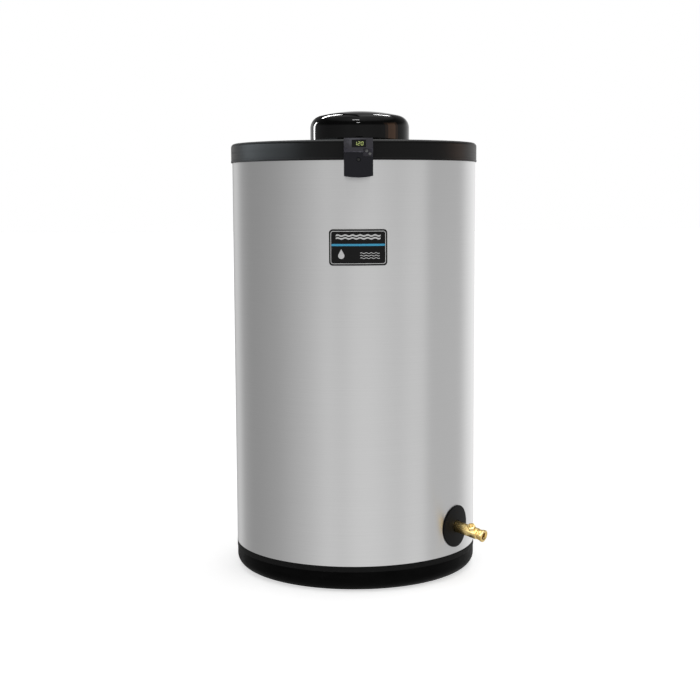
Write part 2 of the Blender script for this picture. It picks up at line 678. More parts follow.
def grow(name, tree, place=Matrix(), **values):
    """Runs a tree with these values and returns a plain mesh object at the origin."""
    obj = bpy.data.objects.new(name, bpy.data.meshes.new(name))
    scene.collection.objects.link(obj)
    modifier = obj.modifiers.new("grow", "NODES")
    modifier.node_group = tree
    for item in tree.interface.items_tree:
        if item.in_out == "INPUT" and item.name in values:
            modifier[item.identifier] = values[item.name]
    settled(obj)
    obj.data.transform(place)
    smooth_between(obj.data)
    return obj


def vector(tree, x=0.0, y=0.0, z=0.0):
    return add(tree, "ShaderNodeCombineXYZ", {0: x, 1: y, 2: z}).outputs[0]


print("node trees so far:", len(bpy.data.node_groups))

# %% [markdown]
# ## Pieces taken from their solids
#
# A plain solid with an awkward shape, such as the display head or the flange's cover plate, already has
# the right form, but its edges are razor sharp. A copy of its mesh is welded, its flat facets are joined,
# and a narrow bevel rounds every edge as a mould would. Weighted normals keep the flat faces flat in the
# shading, so that only the round edges catch the light. A bent rod is subdivided instead, and gets round.

# %% A copy of a solid with its edges rounded
FLAT = 0.5  # degrees; facets that fold less than this are one flat face
ROUNDED_FOLD = 30  # degrees; an edge that folds more than this is beveled
BEVEL_STEPS = 3
COPY_SHARP = 40


def refined(name, node, finish, width=0.0006, smooth=0):
    """A solid's copy with beveled edges, or smoothed by subdivision where it is a bent rod."""
    bm = bmesh.new()
    bm.from_mesh(frame["nodes"][node].data)
    bmesh.ops.remove_doubles(bm, verts=bm.verts, dist=WELD)
    bmesh.ops.dissolve_limit(bm, angle_limit=math.radians(FLAT), verts=bm.verts, edges=bm.edges)
    obj = piece_from(name, bm, finish, COPY_SHARP)
    if smooth:
        subsurf = obj.modifiers.new("smooth", "SUBSURF")
        subsurf.levels = subsurf.render_levels = smooth
    else:
        bevel = obj.modifiers.new("edges", "BEVEL")
        bevel.width = width
        bevel.segments = BEVEL_STEPS
        bevel.limit_method = "ANGLE"
        bevel.angle_limit = math.radians(ROUNDED_FOLD)
        obj.modifiers.new("flat_faces", "WEIGHTED_NORMAL").keep_sharp = True
    return settled(obj)


print("copied solids get", BEVEL_STEPS, "bevel steps")

# %% [markdown]
# ## The jacket
#
# A cold-rolled sheet under a millimetre thick is rolled into a cylinder and riveted at the back. It is
# never quite true: it swells a few tenths of a millimetre between the lid and the pan, and that is what
# makes its reflections waver. The tree rolls the sheet, lets slow noise push it in and out, and gives it
# its thickness. A plain cylinder could not waver, and a hand-shaped one could not follow its sizes.

# %% The tree that rolls the sheet
roll_tree, given = new_tree("rolled_jacket", radius=0.3, wall=0.0008, low=0.0, high=1.0, swell=0.0003,
                            steps=256, rows=48, seed=3.0, finish=jacket_steel.material)
tall = maths(roll_tree, "SUBTRACT", given["high"], given["low"])
inside = maths(roll_tree, "SUBTRACT", given["radius"], given["wall"])
sizes = {"Vertices": given["steps"], "Side Segments": given["rows"], "Radius": inside, "Depth": tall}
sheet = add(roll_tree, "GeometryNodeMeshCylinder", sizes, fill_type="NONE").outputs[0]
lift = maths(roll_tree, "MULTIPLY_ADD", tall, 0.5, given["low"])
raised = add(roll_tree, "GeometryNodeSetPosition", {0: sheet, "Offset": vector(roll_tree, 0.0, 0.0, lift)})
where = add(roll_tree, "GeometryNodeInputPosition").outputs[0]
WAVES = (4.0, 4.0, 1.6)  # slow swells a metre, round the jacket and up it
LEVEL = (1.0, 1.0, 0.0)
slow = add(roll_tree, "ShaderNodeVectorMath", {0: where, 1: WAVES}, operation="MULTIPLY").outputs[0]
push = add(roll_tree, "ShaderNodeTexNoise", {"Vector": slow, "W": given["seed"], "Scale": 1.0, "Detail": 1.0},
           noise_dimensions="4D").outputs[0]
push = maths(roll_tree, "MULTIPLY", maths(roll_tree, "SUBTRACT", push, 0.5), given["swell"])
flat = add(roll_tree, "ShaderNodeVectorMath", {0: where, 1: LEVEL}, operation="MULTIPLY").outputs[0]
outward = add(roll_tree, "ShaderNodeVectorMath", {0: flat}, operation="NORMALIZE").outputs[0]
offset = add(roll_tree, "ShaderNodeVectorMath", {0: outward, "Scale": push}, operation="SCALE").outputs[0]
waved = add(roll_tree, "GeometryNodeSetPosition", {0: raised.outputs[0], "Offset": offset}).outputs[0]
thick = add(roll_tree, "GeometryNodeExtrudeMesh", {0: waved, "Offset": outward, "Offset Scale": given["wall"],
                                                  "Individual": False}).outputs[0]
back = add(roll_tree, "GeometryNodeFlipFaces", {0: waved}).outputs[0]
joined = add(roll_tree, "GeometryNodeJoinGeometry", {0: back})
roll_tree.links.new(thick, joined.inputs[0])
whole = add(roll_tree, "GeometryNodeMergeByDistance", {0: joined.outputs[0], "Distance": WELD}).outputs[0]
close_tree(roll_tree, whole, given["finish"])
print("tree with", len(roll_tree.nodes), "nodes")

# %% [markdown]
# The pipes come out through holes punched in the sheet, five at the back and one for the drain cock. Each
# hole is cut with a plain round tool whose place comes from the pipe's own solid, a little wider than the
# pipe. The cock's place is a matrix with Z along the cock and Y along its stem.

# %% The jacket, with its pipe holes
PIPE_ROOM = 0.003
COCK_HOLE_R = 0.0165
SWELL = 0.0006


def drum(radius, low, high, place=Matrix(), steps=48):
    """A plain round tool for cutting or joining."""
    bm = bmesh.new()
    spin(bm, [(0, low), (radius, low), (radius, high), (0, high)], steps, place)
    return piece_from("tool", bm, jacket_steel)


def port_place(name):
    """The place on the jacket's back where a pipe comes out, with Z along the pipe."""
    low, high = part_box(name + "_coupling")
    turn = Matrix.Rotation(math.radians(-90), 4, "X")
    return Matrix.Translation((0, 0, (low.z + high.z) / 2)) @ turn


cock_axis = Vector(mounts["drain_outlet_face"]["axis"])
stem_axis = Vector(joints["drain_turn"]["axis"])
side_axis = stem_axis.cross(cock_axis)
cock = Matrix.Translation(ball_at) @ Matrix((side_axis, stem_axis, cock_axis)).transposed().to_4x4()

jacket = grow("jacket_sheet", roll_tree, radius=JACKET_R, low=jacket_low.z, high=jacket_high.z, swell=SWELL)
holes = [drum(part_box(name + "_coupling")[1].x + PIPE_ROOM, 0.2, 0.35, port_place(name)) for name in PORTS]
cut(jacket, *holes, drum(COCK_HOLE_R, -0.09, 0.0, cock))
show(jacket, "heater", "jacket_sheet", "jacket")

# %% [markdown]
# Where the sheet's ends meet, one laps over the other and a row of rivets holds them. The lap is a narrow
# strip with soft edges, drawn in section and stretched upwards. A tree places a squat round head at each
# point of an upright line, so the row's pitch and count are its inputs.

# %% The lap seam at the back, and its rivets
SEAM_AZIMUTH = 154.0
LAP_HALF, LAP_RISE, LAP_SUNK, LAP_EDGE = 0.010, 0.0010, 0.0002, 0.0004
SEAM_END = 0.0006  # the lap stops this far from the pan and the lid
FIRST_RIVET = 0.02
seam_turn = Matrix.Rotation(math.radians(SEAM_AZIMUTH), 4, "Z")
lap_outline = rounded([(JACKET_R - LAP_SUNK, -LAP_HALF), (JACKET_R + LAP_RISE, 0.001 - LAP_HALF, LAP_EDGE),
                       (JACKET_R + LAP_RISE, LAP_HALF - 0.001, LAP_EDGE), (JACKET_R - LAP_SUNK, LAP_HALF)], 3)
bm = bmesh.new()
low_z, high_z = PAN_TOP + SEAM_END, lid_low.z - SEAM_END
loops = [[bm.verts.new(seam_turn @ Vector((y, -r, z))) for r, y in lap_outline] for z in (low_z, high_z)]
count = len(lap_outline)
for i in range(count):
    bm.faces.new((loops[0][i], loops[0][(i + 1) % count], loops[1][(i + 1) % count], loops[1][i]))
bm.faces.new(loops[0])
bm.faces.new(loops[1])
show(piece_from("jacket_lap", bm, jacket_steel), "heater", "jacket_sheet")

rivet_tree, given = new_tree("rivet_row", count=20, pitch=0.045, low=0.1, out=0.296, radius=0.0024,
                             rise=0.0012,
                             finish=zinc.material)
foot_at = vector(rivet_tree, 0.0, maths(rivet_tree, "MULTIPLY", given["out"], -1.0), given["low"])
step_up = vector(rivet_tree, 0.0, 0.0, given["pitch"])
line_sizes = {"Count": given["count"], "Start Location": foot_at, "Offset": step_up}
row = add(rivet_tree, "GeometryNodeMeshLine", line_sizes).outputs[0]
ball_sizes = {"Segments": 14, "Rings": 8, "Radius": given["radius"]}
head = add(rivet_tree, "GeometryNodeMeshUVSphere", ball_sizes).outputs[0]
squat = vector(rivet_tree, 1.0, maths(rivet_tree, "DIVIDE", given["rise"], given["radius"]), 1.0)
at_each = {0: row, "Instance": head, "Scale": squat}
placed = add(rivet_tree, "GeometryNodeInstanceOnPoints", at_each).outputs[0]
close_tree(rivet_tree, placed, given["finish"])
rivets = grow("jacket_rivets", rivet_tree, seam_turn, low=low_z + FIRST_RIVET, out=JACKET_R + LAP_RISE)
show(rivets, "heater", "zinc_plated_steel")

# %% [markdown]
# ## The lid
#
# The lid is one black moulding: a flat top, a rounded edge, a skirt that drops over the jacket, and a ledge
# inside that sits on the jacket's edge. A narrow lip runs round its lower edge. Its opening and the collar
# that locates the dome are off the centre line, so they are cut and joined after the lid is spun.

# %% The lid
LID_WALL = 0.003
LID_ROUND = 0.009
LEDGE_REACH = 0.0028  # the ledge reaches in past the jacket's outside
LIP_H = 0.0050
LIP_STEP = 0.0005
skirt_r = LID_R - LIP_STEP
inner_r = JACKET_R + GAP
ledge_r = JACKET_R - LEDGE_REACH
ledge_z = jacket_high.z + GAP
lid_outline = rounded([
    (0, LID_TOP), (skirt_r, LID_TOP, LID_ROUND), (skirt_r, lid_low.z + LIP_H, 0.0003),
    (LID_R, lid_low.z + LIP_H - 0.0006, 0.0003), (LID_R, lid_low.z, 0.0009), (inner_r, lid_low.z, 0.0006),
    (inner_r, ledge_z), (ledge_r, ledge_z), (ledge_r, LID_TOP - LID_WALL, LID_ROUND - LID_WALL),
    (0, LID_TOP - LID_WALL),
], 8)
lid = turned("moulded_lid", lid_plastic, lid_outline, steps=256)
print("the lid's skirt is", round(LID_TOP - lid_low.z, 4), "m deep")

# %% [markdown]
# The collar is joined to the lid's plate first and the opening is cut through both, so that the collar's
# inside and the opening are one wall. A small hole in the skirt lets the sensor's lead out to the control.

# %% The lid's collar, opening and lead hole
COLLAR_R = 0.1155
OPENING_R = 0.1115
COLLAR_SUNK = 0.0004  # the collar's foot lies this far over the plate's underside
PAST = 0.02  # a tool sticks out this far on each side
collar_low = LID_TOP - LID_WALL
stock_r = OPENING_R - 0.002
access = Matrix.Translation((ACCESS_X, 0, 0))
collar_outline = rounded([(stock_r, collar_low + COLLAR_SUNK), (COLLAR_R, collar_low + COLLAR_SUNK),
                          (COLLAR_R, lid_high.z, 0.001), (stock_r, lid_high.z)], 4)
cut(lid, turned("collar", lid_plastic, collar_outline, steps=128, place=access), operation="UNION")
opening = drum(OPENING_R, collar_low - PAST, lid_high.z + PAST, access, 128)
grommet_low, grommet_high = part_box("cable_grommet")
cable_z = (grommet_low.z + grommet_high.z) / 2
front = Matrix.Translation((0, 0, cable_z)) @ Matrix.Rotation(math.radians(90), 4, "X")
cut(lid, opening, drum(grommet_high.x + GAP, 0.27, 0.32, front, 32))
show(lid, "heater", "black_plastic", "top_lid")
satin_pieces.objects.link(lid)

# %% [markdown]
# ## The base pan
#
# The pan is a deep black dish with a soft lower edge, so that it can be slid and tipped without digging
# in. A straight band runs round its top, right under the jacket, and stands out from it by a small step.
# A rim above the band goes up inside the jacket. The whole section is one outline, spun once.

# %% The base pan
FOOT_ACROSS, FOOT_UP = 0.032, 0.027
FOOT_STEPS = 14
BAND_STEP = 0.0007
FLOOR_T = 0.004
foot_r = PAN_R - BAND_STEP
rim_r = PAN_R - 0.0022
wall_r = PAN_R - 0.0052
quarter = [math.radians(90 * k / FOOT_STEPS) for k in range(FOOT_STEPS + 1)]
foot = [(foot_r - FOOT_ACROSS * (1 - math.sin(a)), FOOT_UP * (1 - math.cos(a))) for a in quarter]
pan_outline = [(0, 0), *foot] + rounded([
    (foot_r, BAND_LOW - 0.0010, 0.0004), (PAN_R, BAND_LOW, 0.0006), (PAN_R, PAN_TOP, 0.0012),
    (rim_r, PAN_TOP),
    (rim_r, pan_high.z, 0.0008), (wall_r, pan_high.z, 0.0008), (wall_r, 0.012, 0.007),
    (PAN_R - 0.034, FLOOR_T, 0.003), (0, FLOOR_T),
], 8)
pan = turned("base_dish", pan_plastic, pan_outline, steps=256)
show(pan, "heater", "black_plastic", "base_pan")

# %% [markdown]
# ## The dome
#
# The dome is blown or moulded in gloss black plastic: a wide shallow crown, a knuckle of 30 mm and a short
# upright side. It is a light cover that lifts straight off the lid's collar, so it has its own thin wall.

# %% The dome
CROWN_R = 0.42  # radius of the shallow crown, as seen from the side
KNUCKLE_R = 0.030
DOME_WALL = 0.0025
crown_z = dome_high.z - CROWN_R
reach_r = DOME_R - KNUCKLE_R
knuckle_z = crown_z + math.sqrt((CROWN_R - KNUCKLE_R) ** 2 - reach_r ** 2)
meet = math.degrees(math.atan2(knuckle_z - crown_z, reach_r))
outer = arc((0, crown_z), CROWN_R, 90, meet, 20) + arc((reach_r, knuckle_z), KNUCKLE_R, meet, 0, 28)[1:]
inner = (arc((reach_r, knuckle_z), KNUCKLE_R - DOME_WALL, 0, meet, 28)
         + arc((0, crown_z), CROWN_R - DOME_WALL, meet, 90, 20)[1:])
inner_dome_r = DOME_R - DOME_WALL
rim = rounded([(DOME_R, knuckle_z - 0.001), (DOME_R, dome_low.z, 0.0009), (inner_dome_r, dome_low.z, 0.0009),
               (inner_dome_r, knuckle_z - 0.001)], 5)
dome = turned("access_dome", dome_plastic, outer + rim + inner, steps=256, place=access)
show(dome, "dome", "gloss_black_plastic", "dome_cover")
gloss_pieces.objects.link(dome)

# %% [markdown]
# ## Under the dome
#
# Lifting the dome shows a steel flange: a cover plate held by six hexagon bolts on a circle, with the
# thermowell of the temperature sensor screwed in beside its middle. The bolts repeat round a circle, so a
# tree places one bolt at each point. Each has a chamfered head, a washer and a shank.

# %% The tree that sets bolts on a circle
bolt_tree, given = new_tree("bolt_circle", count=6, circle=0.078, head=0.0098, rise=0.005, shank=0.005,
                            reach=0.02, washer=0.0014, finish=zinc.material)
circle_sizes = {"Resolution": given["count"], "Radius": given["circle"]}
ring = add(bolt_tree, "GeometryNodeCurvePrimitiveCircle", circle_sizes)


def stub(sides, radius, length, middle):
    """A short prism of the tree's sizes, standing with its middle at this height."""
    made = add(bolt_tree, "GeometryNodeMeshCylinder", {"Vertices": sides, "Radius": radius, "Depth": length})
    sockets = {0: made.outputs[0], "Translation": vector(bolt_tree, 0.0, 0.0, middle)}
    return add(bolt_tree, "GeometryNodeTransform", sockets).outputs[0]


WASHER_SHARE, CROWN_SHARE = 1.12, 0.84  # of the head's radius
CROWN_T, CROWN_RISE = 0.0007, 0.00005
half_rise = maths(bolt_tree, "MULTIPLY_ADD", given["rise"], 0.5, given["washer"])
hexagon = stub(6, given["head"], given["rise"], half_rise)
washer_r = maths(bolt_tree, "MULTIPLY", given["head"], WASHER_SHARE)
washer = stub(28, washer_r, given["washer"], maths(bolt_tree, "MULTIPLY", given["washer"], 0.5))
crown_r = maths(bolt_tree, "MULTIPLY", given["head"], CROWN_SHARE)
top = maths(bolt_tree, "ADD", given["rise"], given["washer"])
crown = stub(28, crown_r, CROWN_T, maths(bolt_tree, "ADD", top, CROWN_RISE))
shank = stub(20, given["shank"], given["reach"], maths(bolt_tree, "MULTIPLY", given["reach"], -0.5))
bolt = add(bolt_tree, "GeometryNodeJoinGeometry", {0: hexagon})
for part in (washer, crown, shank):
    bolt_tree.links.new(part, bolt.inputs[0])
round_points = add(bolt_tree, "GeometryNodeCurveToPoints", {0: ring.outputs[0]}, mode="EVALUATED").outputs[0]
at_each = {0: round_points, "Instance": bolt.outputs[0]}
bolts = add(bolt_tree, "GeometryNodeInstanceOnPoints", at_each).outputs[0]
close_tree(bolt_tree, bolts, given["finish"])
print("tree with", len(bolt_tree.nodes), "nodes")

# %% [markdown]
# The tree's sizes come from one bolt's solid: how far it stands from the middle, how wide its head is and
# how far it reaches down. The heads are beveled a little after they are grown, as forged heads are.

# %% The bolts of the access flange
FIRST_BOLT = -60.0  # degrees
SHANK_R = 0.0046
HEAD_ROOM = 0.0022  # the washer, the crown and the clearance under the head
bolt_low, bolt_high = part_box("access_bolt_1")
bolt_mid = (bolt_low + bolt_high) / 2
bolt_circle = math.hypot(bolt_mid.x - ACCESS_X, bolt_mid.y)
head_r = (bolt_high.x - bolt_low.x) / 2
plate_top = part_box("access_cover_plate")[1].z
start = Matrix.Rotation(math.radians(FIRST_BOLT), 4, "Z")
place = Matrix.Translation((ACCESS_X, 0, plate_top + GAP / 2)) @ start
flange_bolts = grow("flange_bolts", bolt_tree, place, circle=bolt_circle, head=head_r, shank=SHANK_R,
                    reach=plate_top - bolt_low.z, rise=bolt_high.z - plate_top - HEAD_ROOM)
bevel = flange_bolts.modifiers.new("edges", "BEVEL")
bevel.width = 0.0004
bevel.segments = 2
settled(flange_bolts)
show(flange_bolts, "heater", "zinc_plated_steel", *(f"access_bolt_{k}" for k in range(1, 7)))

# %% [markdown]
# The cover plate, the gasket under it and the thermowell keep the form of their solids. They are machined
# or cut parts with narrow chamfers, so a small bevel on a copy is all that they need.

# %% The flange's plate, gasket and thermowell
show(refined("flange_plate", "access_cover_plate", stainless, 0.0010), "heater", "stainless_steel",
     "access_cover_plate")
show(refined("flange_gasket", "access_gasket", rubber, 0.0004), "heater", "black_rubber", "access_gasket")
show(refined("sensor_well", "thermowell", stainless, 0.0005), "heater", "stainless_steel", "thermowell")

# %% [markdown]
# ## Sensor lead
#
# A thin black lead leaves the thermowell, passes under the lid and comes out through a rubber grommet
# behind the control. Its solid is a chain of short straight lengths, so a copy is subdivided into a smooth
# round cable.

# %% The sensor lead and its grommet
show(refined("sensor_lead", "sensor_cable", rubber, smooth=1), "heater", "black_rubber", "sensor_cable")
LEAD_HOLE_R, GROMMET_R, GROMMET_LENGTH, GROMMET_EDGE = 0.0024, 0.0047, 0.0086, 0.0006
sleeve = rounded([(LEAD_HOLE_R, 0.0), (GROMMET_R, 0.0, GROMMET_EDGE),
                  (GROMMET_R, GROMMET_LENGTH, GROMMET_EDGE),
                  (LEAD_HOLE_R, GROMMET_LENGTH)], 4)
grommet_place = Matrix.Translation((0, grommet_high.y, cable_z)) @ Matrix.Rotation(math.radians(90), 4, "X")
grommet = turned("lid_grommet", rubber, sleeve, steps=48, place=grommet_place)
show(grommet, "heater", "black_rubber", "cable_grommet")

# %% [markdown]
# ## Drain cock
#
# The cock is cast in brass and turned at its end, where a hose screws on. A stem with a screwdriver slot
# turns the ball inside, and a hexagon nut packs it. The body is one outline, spun round the cock's line,
# with its heights counted from the ball. Its boss is joined at a right angle, and drilled for the stem.

# %% The cock's body
BODY_R, SHANK_END_R, NECK_R, ROOT_R, RING_R = 0.0135, 0.0130, 0.0111, 0.0124, 0.0146
BORE_R, CAVITY_R, CAVITY_H = 0.0075, 0.0112, 0.0134
INLET, SHOULDER, BODY_END, THREAD_START, RING_START, END = -0.0800, -0.0480, 0.0145, 0.0185, 0.0264, 0.0320
STEM_HOLE_R = 0.0046
BOSS_FOOT_R, BOSS_R, BOSS_LOW, BOSS_HIGH = 0.0088, 0.0072, 0.0122, 0.0165
body_outline = rounded([
    (BORE_R, INLET), (SHANK_END_R, INLET, 0.0006), (SHANK_END_R, SHOULDER - 0.0010), (BODY_R, SHOULDER),
    (BODY_R, BODY_END, 0.0012), (NECK_R, BODY_END + 0.0013, 0.0010), (NECK_R, THREAD_START - 0.0006, 0.0004),
    (ROOT_R, THREAD_START, 0.0004), (ROOT_R, RING_START - 0.0006, 0.0003), (RING_R, RING_START, 0.0006),
    (RING_R, END, 0.0012), (0.0100, END, 0.0007), (BORE_R, END - 0.0026, 0.0010), (BORE_R, CAVITY_H),
    (CAVITY_R, CAVITY_H), (CAVITY_R, -CAVITY_H), (BORE_R, -CAVITY_H),
], 5)
valve = turned("drain_cock_body", brass, body_outline, steps=96, place=cock)
across = cock @ Matrix.Rotation(math.radians(-90), 4, "X")  # Z along the stem
boss_outline = rounded([(0, BOSS_LOW), (BOSS_FOOT_R, BOSS_LOW), (BOSS_R, 0.0148, 0.0010), (BOSS_R, BOSS_HIGH),
                        (0, BOSS_HIGH)], 4)
cut(valve, turned("boss", brass, boss_outline, steps=64, place=across), operation="UNION")
cut(valve, drum(STEM_HOLE_R, 0.0105, BOSS_HIGH + 0.0010, across, 32))
show(valve, "heater", "cast_brass", "drain_valve_body")
brass_pieces.objects.link(valve)

# %% [markdown]
# A thread is a ridge that climbs a pipe, so a tree sweeps a small circle along a spiral. Its radius, pitch,
# turns and height are inputs, and the pipe couplings at the back use the same tree with other sizes.

# %% The hose thread
PITCH = 0.0023
SINK = 0.0001  # the ridge's line lies this far inside the metal
thread_tree, given = new_tree("hose_thread", radius=0.0124, pitch=PITCH, turns=4.0, height=0.0011,
                              finish=brass.material)
climb = maths(thread_tree, "MULTIPLY", given["pitch"], given["turns"])
spiral_sizes = {"Resolution": 48, "Rotations": given["turns"], "Start Radius": given["radius"],
                "End Radius": given["radius"], "Height": climb}
spiral = add(thread_tree, "GeometryNodeCurveSpiral", spiral_sizes).outputs[0]
spiral = add(thread_tree, "GeometryNodeSetCurveNormal", {0: spiral}, mode="Z_UP").outputs[0]
ridge_sizes = {"Resolution": 8, "Radius": given["height"]}
ridge = add(thread_tree, "GeometryNodeCurvePrimitiveCircle", ridge_sizes).outputs[0]
swept = add(thread_tree, "GeometryNodeCurveToMesh", {0: spiral, 1: ridge, "Fill Caps": True}).outputs[0]
close_tree(thread_tree, swept, given["finish"])
thread_place = cock @ Matrix.Translation((0, 0, THREAD_START + 0.0010))
thread = grow("hose_thread", thread_tree, thread_place, radius=ROOT_R - SINK, pitch=PITCH, turns=2.4,
              height=0.00085)
show(thread, "heater", "cast_brass")
brass_pieces.objects.link(thread)

# %% [markdown]
# A hexagon nut is a prism whose corners are turned away. It is made the same way here: a prism of six
# sides is crossed with a turned dish, and what they share is the nut. It is then drilled for the stem.

# %% The packing nut
NUT_R, NUT_LOW, NUT_HIGH = 0.0098, 0.0169, 0.0224
OVER = 0.00002  # keeps the dish's top off the prism's
prism = [(0, NUT_LOW), (NUT_R, NUT_LOW), (NUT_R, NUT_HIGH), (0, NUT_HIGH)]
nut = turned("tool", brass, prism, steps=6, place=across)
dish_outline = rounded([(0, NUT_LOW - 0.001), (0.0103, NUT_LOW - 0.001), (0.0101, NUT_HIGH - 0.0009, 0.0006),
                        (0.0086, NUT_HIGH + OVER), (0, NUT_HIGH + OVER)], 5)
cut(nut, turned("dish", brass, dish_outline, steps=64, place=across), operation="INTERSECT")
cut(nut, drum(STEM_HOLE_R, NUT_LOW - 0.002, NUT_HIGH + 0.002, across, 32))
nut.name = "packing_nut"
show(nut, "heater", "cast_brass", "drain_packing_nut")
brass_pieces.objects.link(nut)

# %% [markdown]
# The stem and the ball turn together, so both ride on the spindle. The stem's end has a slot for a
# screwdriver, cut with a thin block. The slot and the ball's bore point the same way, which shows from
# outside whether the cock is open.

# %% The slotted stem and its ball
STEM_R, STEM_LOW, STEM_HIGH = 0.0042, 0.0112, 0.0255
SLOT_W, SLOT_LENGTH, SLOT_H = 0.0014, 0.02, 0.0036
stem_outline = rounded([(0, STEM_LOW), (STEM_R, STEM_LOW), (STEM_R, STEM_HIGH, 0.0007), (0, STEM_HIGH)], 5)
stem = turned("slotted_stem", brass, stem_outline, steps=48, place=across)
slot_bm = bmesh.new()
slot_box = Matrix.Diagonal((SLOT_W, SLOT_LENGTH, SLOT_H, 1.0))
slot_at = across @ Matrix.Translation((0, 0, STEM_HIGH))
bmesh.ops.create_cube(slot_bm, size=1.0, matrix=slot_at @ slot_box)
cut(stem, piece_from("slot", slot_bm, brass))
show(stem, "drain_spindle", "cast_brass", "drain_stem")
brass_pieces.objects.link(stem)
ball = refined("drain_ball_turned", "drain_ball", stainless, smooth=1)
show(ball, "drain_spindle", "stainless_steel", "drain_ball")

# %% [markdown]
# ## Plates round the pipes
#
# Each pipe leaves the jacket through a thin black plate bent to the jacket's curve. The plates keep the
# foam in and hide the cut edge of the steel. A plate is spun flat, in rings fine enough to bend, and each
# of its points is then wrapped round the jacket, which keeps the plate's thickness true.

# %% Plates bent to the jacket
PLATE_LOW, PLATE_HIGH, PLATE_EDGE = 0.0004, 0.0034, 0.0016  # heights off the jacket, and the rim's radius
PLATE_RINGS = 8
COCK_ROOM_R = 0.0148
COUPLING_ROOM = 0.0006


def wrapped(across_jacket, up, out, azimuth=0.0):
    """A point on the jacket: so far round from this azimuth, this high, and this far off its surface."""
    angle = azimuth + across_jacket / JACKET_R
    return Vector(((JACKET_R + out) * math.sin(angle), -(JACKET_R + out) * math.cos(angle), up))


def rosette(name, radius, hole, azimuth, height):
    """A round plate with a soft edge, spun flat in fine rings and then wrapped round the jacket."""
    shares = [k / PLATE_RINGS for k in range(1, PLATE_RINGS)]
    inwards = [(radius + (hole - radius) * share, PLATE_HIGH) for share in shares]
    outwards = [(hole + (radius - hole) * share, PLATE_LOW) for share in shares]
    outline = rounded([(radius, PLATE_LOW), (radius, PLATE_HIGH, PLATE_EDGE), *inwards,
                       (hole, PLATE_HIGH, 0.0006), (hole, PLATE_LOW), *outwards])
    bm = bmesh.new()
    spin(bm, outline, 128)
    for v in bm.verts:
        v.co = wrapped(v.co.x, height + v.co.y, v.co.z, azimuth)
    return piece_from(name, bm, ring_plastic)


plate_low, plate_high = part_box("drain_plate")
drain_azimuth = math.atan2(cock_axis.x, -cock_axis.y)
drain_plate_r = (plate_high.z - plate_low.z) / 2
drain_plate_z = (plate_low.z + plate_high.z) / 2
drain_rosette = rosette("drain_rosette", drain_plate_r, COCK_ROOM_R, drain_azimuth, drain_plate_z)
show(drain_rosette, "heater", "black_plastic", "drain_plate")
for name in PORTS:
    low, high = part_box(name + "_plate")
    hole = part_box(name + "_coupling")[1].x + COUPLING_ROOM
    plate = rosette(name + "_rosette", (high.z - low.z) / 2, hole, math.pi, (low.z + high.z) / 2)
    show(plate, "heater", "black_plastic", name + "_plate")

# %% [markdown]
# ## Pipe couplings
#
# The five couplings at the back are steel sockets welded into the tank, with a pipe thread cut inside. A
# coupling is spun with chamfered lips. Its thread is a small ridge swept along a spiral, as on the cock.

# %% Couplings and their threads
SOCKET_DEPTH = 0.020
SOCKET_TURNS, SOCKET_RIDGE = 7.6, 0.0007
for name in PORTS:
    low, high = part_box(name + "_coupling")
    outer_r = high.x
    mount = mounts[name + "_face"]
    bore_r = 2 * mount["pos_m"][0] - outer_r
    outline = rounded([(bore_r, low.y), (outer_r, low.y, 0.0008), (outer_r, high.y, 0.0010),
                       (bore_r + 0.0014, high.y, 0.0004), (bore_r, high.y - 0.0016, 0.0004)], 4)
    socket = turned(name + "_socket", stainless, outline, steps=96, place=port_place(name))
    show(socket, "heater", "stainless_steel", name + "_coupling")
    base = port_place(name) @ Matrix.Translation((0, 0, high.y - SOCKET_DEPTH))
    pipe_thread = grow(name + "_thread", thread_tree, base, radius=bore_r + SINK, pitch=PITCH,
                       turns=SOCKET_TURNS, height=SOCKET_RIDGE)
    pipe_thread.data.materials.clear()
    pipe_thread.data.materials.append(stainless.material)
    show(pipe_thread, "heater", "stainless_steel")

# %% [markdown]
# ## Temperature control
#
# The control is a small two-part housing. The lower cover carries a screw in a sunken pocket. The head
# above it leans back, with chamfered cheeks, a dark display window and a recess for two buttons. Each
# part is moulded, so its edges are rounded just enough to catch the light. The solids already have the
# faces, so each part is a beveled copy.

# %% Housing
HOUSING = (  # piece, solid, finish, width of the rounded edges and slot
    ("control_front", "control_cover", control_plastic, 0.0008, "grey_plastic"),
    ("control_head", "display_head", head_plastic, 0.0007, "grey_plastic"),
    ("control_back", "control_back_box", control_plastic, 0.0006, "grey_plastic"),
    ("control_hanger", "control_bracket", control_plastic, 0.0005, "grey_plastic"),
    ("window_glass", "display_window", glass, 0.0002, "display_glass"),
)
for name, solid, finish, width, slot in HOUSING:
    show(refined(name, solid, finish, width), "heater", slot, solid)

# %% [markdown]
# The digits are the usual seven bars, and they are lit. They lie flat on the sloping window, whose plane
# is read from its solid, so that they follow the window's slope exactly.

# %% The window's slope
window = frame["nodes"]["display_window"].data
facing = [p for p in window.polygons if p.normal.y < -0.3 and p.normal.z > 0.2]
slope = max(facing, key=lambda p: p.area).normal.copy()
spots = [window.vertices[i].co for p in facing if p.normal.dot(slope) > 0.999 for i in p.vertices]
face_low = Vector(min(p[i] for p in spots) for i in range(3))
face_high = Vector(max(p[i] for p in spots) for i in range(3))
face_mid = (face_low + face_high) / 2
uphill = slope.cross(Vector((1, 0, 0)))
uphill *= 1 if uphill.z > 0 else -1
on_window = Matrix.Translation(face_mid) @ Matrix((Vector((1, 0, 0)), uphill, slope)).transposed().to_4x4()
print("the window leans back", round(math.degrees(math.asin(slope.z))), "degrees")

# %% [markdown]
# Each bar is a pointed strip with six corners, a hair thick. A digit is a choice among seven bars, and the
# whole row leans a little to the right. The number shown is only an example of a set temperature.

